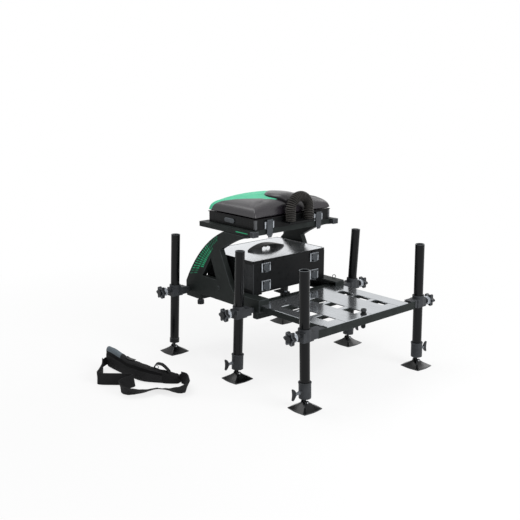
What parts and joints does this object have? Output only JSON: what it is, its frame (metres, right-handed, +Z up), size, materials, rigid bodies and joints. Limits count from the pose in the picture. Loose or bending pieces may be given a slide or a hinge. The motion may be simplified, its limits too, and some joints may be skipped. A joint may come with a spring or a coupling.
{
  "type": "fishing seat box",
  "caption": "Padded fishing seat over a tackle case on a cantilever frame with adjustable legs and a slide-out footplate.",
  "frame": {"origin": "middle of the whole footprint, carry strap included, on the ground", "axes": "+Z up, -Y towards the footplate, +X to the right of a person facing the footplate from in front"},
  "size_m": [1.1326, 0.8606, 0.6824],
  "materials": {
    "tube": "satin dark anodised tube",
    "casting": "satin dark grey powder coat",
    "knob": "dark grey moulded plastic",
    "frame": "near-black powder coat",
    "plate": "brushed aluminium sheet",
    "shell": "satin black plastic",
    "lid": "pale brushed panel in a dark rim",
    "leather": "dark grey-purple synthetic leather",
    "rubber": "ribbed black rubber",
    "latch": "mid grey moulded plastic",
    "steel": "bright steel",
    "pad": "black moulded plastic",
    "strap": "black webbing and padding"
  },
  "bodies": {
    "base": {"left_side_frame": "frame", "right_side_frame": "frame", "base_front_cross": "frame", "base_rear_rail": "frame", "seat_frame": "frame", "rear_left_leg_clamp": "casting", "rear_right_leg_clamp": "casting", "middle_left_leg_clamp": "casting", "middle_right_leg_clamp": "casting"},
    "footplate": {"footplate_front_rail": "frame", "footplate_rear_frame": "frame", "footplate_deck": "plate", "footplate_case_stop": "frame", "footplate_spigot": "knob", "front_left_leg_clamp": "casting", "front_right_leg_clamp": "casting"},
    "seat_unit": {"seat_shell": "shell", "seat_cushion": "leather", "pole_hoop": "rubber"},
    "drawer": {"seat_drawer": "shell"},
    "case": {"case_body": "shell"},
    "lid": {"case_lid": "lid", "case_handle": "rubber"},
    "carry_strap": {"strap_pad": "strap", "strap_webbing": "strap"},
    "slide_lock": {"slide_lock_knob": "knob"},
    "rear_left_leg": {"rear_left_leg_tube": "tube", "rear_left_leg_plug": "casting"},
    "rear_left_foot": {"rear_left_foot_pad": "pad"},
    "rear_left_clamp_screw": {"rear_left_clamp_knob": "knob"},
    "rear_right_leg": {"rear_right_leg_tube": "tube", "rear_right_leg_plug": "casting"},
    "rear_right_foot": {"rear_right_foot_pad": "pad"},
    "rear_right_clamp_screw": {"rear_right_clamp_knob": "knob"},
    "middle_left_leg": {"middle_left_leg_tube": "tube"},
    "middle_left_stem": {"middle_left_leg_stem": "steel"},
    "middle_left_stem_screw": {"middle_left_stem_knob": "knob"},
    "middle_left_foot": {"middle_left_foot_pad": "pad"},
    "middle_left_clamp_screw": {"middle_left_clamp_knob": "knob"},
    "middle_right_leg": {"middle_right_leg_tube": "tube"},
    "middle_right_stem": {"middle_right_leg_stem": "steel"},
    "middle_right_stem_screw": {"middle_right_stem_knob": "knob"},
    "middle_right_foot": {"middle_right_foot_pad": "pad"},
    "middle_right_clamp_screw": {"middle_right_clamp_knob": "knob"},
    "front_left_leg": {"front_left_leg_tube": "tube"},
    "front_left_stem": {"front_left_leg_stem": "steel"},
    "front_left_stem_screw": {"front_left_stem_knob": "knob"},
    "front_left_foot": {"front_left_foot_pad": "pad"},
    "front_left_clamp_screw": {"front_left_clamp_knob": "knob"},
    "front_right_leg": {"front_right_leg_tube": "tube"},
    "front_right_stem": {"front_right_leg_stem": "steel"},
    "front_right_stem_screw": {"front_right_stem_knob": "knob"},
    "front_right_foot": {"front_right_foot_pad": "pad"},
    "front_right_clamp_screw": {"front_right_clamp_knob": "knob"},
    "left_seat_latch_lever": {"left_seat_latch": "latch"},
    "left_lid_latch_lever": {"left_lid_latch": "latch"},
    "left_base_latch_lever": {"left_base_latch": "latch"},
    "right_seat_latch_lever": {"right_seat_latch": "latch"},
    "right_lid_latch_lever": {"right_lid_latch": "latch"},
    "right_base_latch_lever": {"right_base_latch": "latch"}
  },
  "joints": [
    {"name": "footplate_slide", "type": "slide", "parent": "base", "child": "footplate", "axis": [0, 1, 0], "range_m": [0, 0.26]},
    {"name": "slide_lock_turn", "type": "hinge", "parent": "base", "child": "slide_lock", "pos_m": [-0.05486, 0.316, 0.23], "axis": [0, 0, 1], "continuous": true},
    {"name": "rear_left_leg_slide", "type": "slide", "parent": "base", "child": "rear_left_leg", "axis": [0.0436, 0, 0.999], "range_m": [-0.15, 0.17]},
    {"name": "rear_left_foot_tilt", "type": "hinge", "parent": "rear_left_leg", "child": "rear_left_foot", "pos_m": [-0.14436, 0.384, 0.024], "axis": [1, 0, 0], "range_deg": [-22, 22]},
    {"name": "rear_left_clamp_screw_turn", "type": "hinge", "parent": "base", "child": "rear_left_clamp_screw", "pos_m": [-0.14436, 0.384, 0.263], "axis": [1, 0, 0], "continuous": true},
    {"name": "rear_right_leg_slide", "type": "slide", "parent": "base", "child": "rear_right_leg", "axis": [0.061, 0, 0.9981], "range_m": [-0.15, 0.17]},
    {"name": "rear_right_foot_tilt", "type": "hinge", "parent": "rear_right_leg", "child": "rear_right_foot", "pos_m": [0.47064, 0.384, 0.024], "axis": [1, 0, 0], "range_deg": [-22, 22]},
    {"name": "rear_right_clamp_screw_turn", "type": "hinge", "parent": "base", "child": "rear_right_clamp_screw", "pos_m": [0.47064, 0.384, 0.253], "axis": [1, 0, 0], "continuous": true},
    {"name": "middle_left_leg_slide", "type": "slide", "parent": "base", "child": "middle_left_leg", "axis": [0.0366, 0, 0.9993], "range_m": [-0.18, 0.135]},
    {"name": "middle_left_stem_slide", "type": "slide", "parent": "middle_left_leg", "child": "middle_left_stem", "axis": [-0.0366, 0, -0.9993], "range_m": [0, 0.19]},
    {"name": "middle_left_stem_screw_turn", "type": "hinge", "parent": "middle_left_leg", "child": "middle_left_stem_screw", "pos_m": [-0.14278, -0.022, 0.06697], "axis": [0.9993, 0, -0.0366], "continuous": true},
    {"name": "middle_left_foot_tilt", "type": "hinge", "parent": "middle_left_stem", "child": "middle_left_foot", "pos_m": [-0.14436, -0.022, 0.024], "axis": [1, 0, 0], "range_deg": [-22, 22]},
    {"name": "middle_left_clamp_screw_turn", "type": "hinge", "parent": "base", "child": "middle_left_clamp_screw", "pos_m": [-0.14436, -0.022, 0.263], "axis": [1, 0, 0], "continuous": true},
    {"name": "middle_right_leg_slide", "type": "slide", "parent": "base", "child": "middle_right_leg", "axis": [0.068, 0, 0.9977], "range_m": [-0.18, 0.135]},
    {"name": "middle_right_stem_slide", "type": "slide", "parent": "middle_right_leg", "child": "middle_right_stem", "axis": [-0.068, 0, -0.9977], "range_m": [0, 0.19]},
    {"name": "middle_right_stem_screw_turn", "type": "hinge", "parent": "middle_right_leg", "child": "middle_right_stem_screw", "pos_m": [0.47356, -0.022, 0.0669], "axis": [0.9977, 0, -0.068], "continuous": true},
    {"name": "middle_right_foot_tilt", "type": "hinge", "parent": "middle_right_stem", "child": "middle_right_foot", "pos_m": [0.47064, -0.022, 0.024], "axis": [1, 0, 0], "range_deg": [-22, 22]},
    {"name": "middle_right_clamp_screw_turn", "type": "hinge", "parent": "base", "child": "middle_right_clamp_screw", "pos_m": [0.47064, -0.022, 0.253], "axis": [1, 0, 0], "continuous": true},
    {"name": "front_left_leg_slide", "type": "slide", "parent": "footplate", "child": "front_left_leg", "axis": [-0.0244, 0, 0.9997], "range_m": [-0.17, 0.14]},
    {"name": "front_left_stem_slide", "type": "slide", "parent": "front_left_leg", "child": "front_left_stem", "axis": [0.0244, 0, -0.9997], "range_m": [0, 0.19]},
    {"name": "front_left_stem_screw_turn", "type": "hinge", "parent": "front_left_leg", "child": "front_left_stem_screw", "pos_m": [-0.14541, -0.384, 0.06699], "axis": [0.9997, 0, 0.0244], "continuous": true},
    {"name": "front_left_foot_tilt", "type": "hinge", "parent": "front_left_stem", "child": "front_left_foot", "pos_m": [-0.14436, -0.384, 0.024], "axis": [1, 0, 0], "range_deg": [-22, 22]},
    {"name": "front_left_clamp_screw_turn", "type": "hinge", "parent": "footplate", "child": "front_left_clamp_screw", "pos_m": [-0.14436, -0.384, 0.2695], "axis": [1, 0, 0], "continuous": true},
    {"name": "front_right_leg_slide", "type": "slide", "parent": "footplate", "child": "front_right_leg", "axis": [-0.0244, 0, 0.9997], "range_m": [-0.17, 0.14]},
    {"name": "front_right_stem_slide", "type": "slide", "parent": "front_right_leg", "child": "front_right_stem", "axis": [0.0244, 0, -0.9997], "range_m": [0, 0.19]},
    {"name": "front_right_stem_screw_turn", "type": "hinge", "parent": "front_right_leg", "child": "front_right_stem_screw", "pos_m": [0.46959, -0.384, 0.06699], "axis": [0.9997, 0, 0.0244], "continuous": true},
    {"name": "front_right_foot_tilt", "type": "hinge", "parent": "front_right_stem", "child": "front_right_foot", "pos_m": [0.47064, -0.384, 0.024], "axis": [1, 0, 0], "range_deg": [-22, 22]},
    {"name": "front_right_clamp_screw_turn", "type": "hinge", "parent": "footplate", "child": "front_right_clamp_screw", "pos_m": [0.47064, -0.384, 0.2595], "axis": [1, 0, 0], "continuous": true},
    {"name": "seat_lift", "type": "hinge", "parent": "base", "child": "seat_unit", "pos_m": [0.16314, 0.2855, 0.5583], "axis": [-1, 0, 0], "range_deg": [0, 75]},
    {"name": "drawer_slide", "type": "slide", "parent": "seat_unit", "child": "drawer", "axis": [-1, 0, 0], "range_m": [0, 0.2]},
    {"name": "case_slide", "type": "slide", "parent": "base", "child": "case", "axis": [0, -1, 0], "range_m": [0, 0.25]},
    {"name": "lid_lift", "type": "hinge", "parent": "case", "child": "lid", "pos_m": [0.16314, 0.308, 0.418], "axis": [-1, 0, 0], "range_deg": [0, 14]},
    {"name": "left_seat_latch_turn", "type": "hinge", "parent": "seat_unit", "child": "left_seat_latch_lever", "pos_m": [0.03214, -0.0075, 0.584], "axis": [-1, 0, 0], "range_deg": [0, 100]},
    {"name": "left_lid_latch_turn", "type": "hinge", "parent": "case", "child": "left_lid_latch_lever", "pos_m": [0.03214, 0.0105, 0.41], "axis": [-1, 0, 0], "range_deg": [0, 100]},
    {"name": "left_base_latch_turn", "type": "hinge", "parent": "case", "child": "left_base_latch_lever", "pos_m": [0.03214, 0.0105, 0.341], "axis": [-1, 0, 0], "range_deg": [0, 100]},
    {"name": "right_seat_latch_turn", "type": "hinge", "parent": "seat_unit", "child": "right_seat_latch_lever", "pos_m": [0.29414, -0.0075, 0.584], "axis": [-1, 0, 0], "range_deg": [0, 100]},
    {"name": "right_lid_latch_turn", "type": "hinge", "parent": "case", "child": "right_lid_latch_lever", "pos_m": [0.29414, 0.0105, 0.41], "axis": [-1, 0, 0], "range_deg": [0, 100]},
    {"name": "right_base_latch_turn", "type": "hinge", "parent": "case", "child": "right_base_latch_lever", "pos_m": [0.29414, 0.0105, 0.341], "axis": [-1, 0, 0], "range_deg": [0, 100]},
    {"name": "strap_lift", "type": "slide", "parent": "base", "child": "carry_strap", "axis": [0, 0, 1], "range_m": [0, 0.3]}
  ]
}
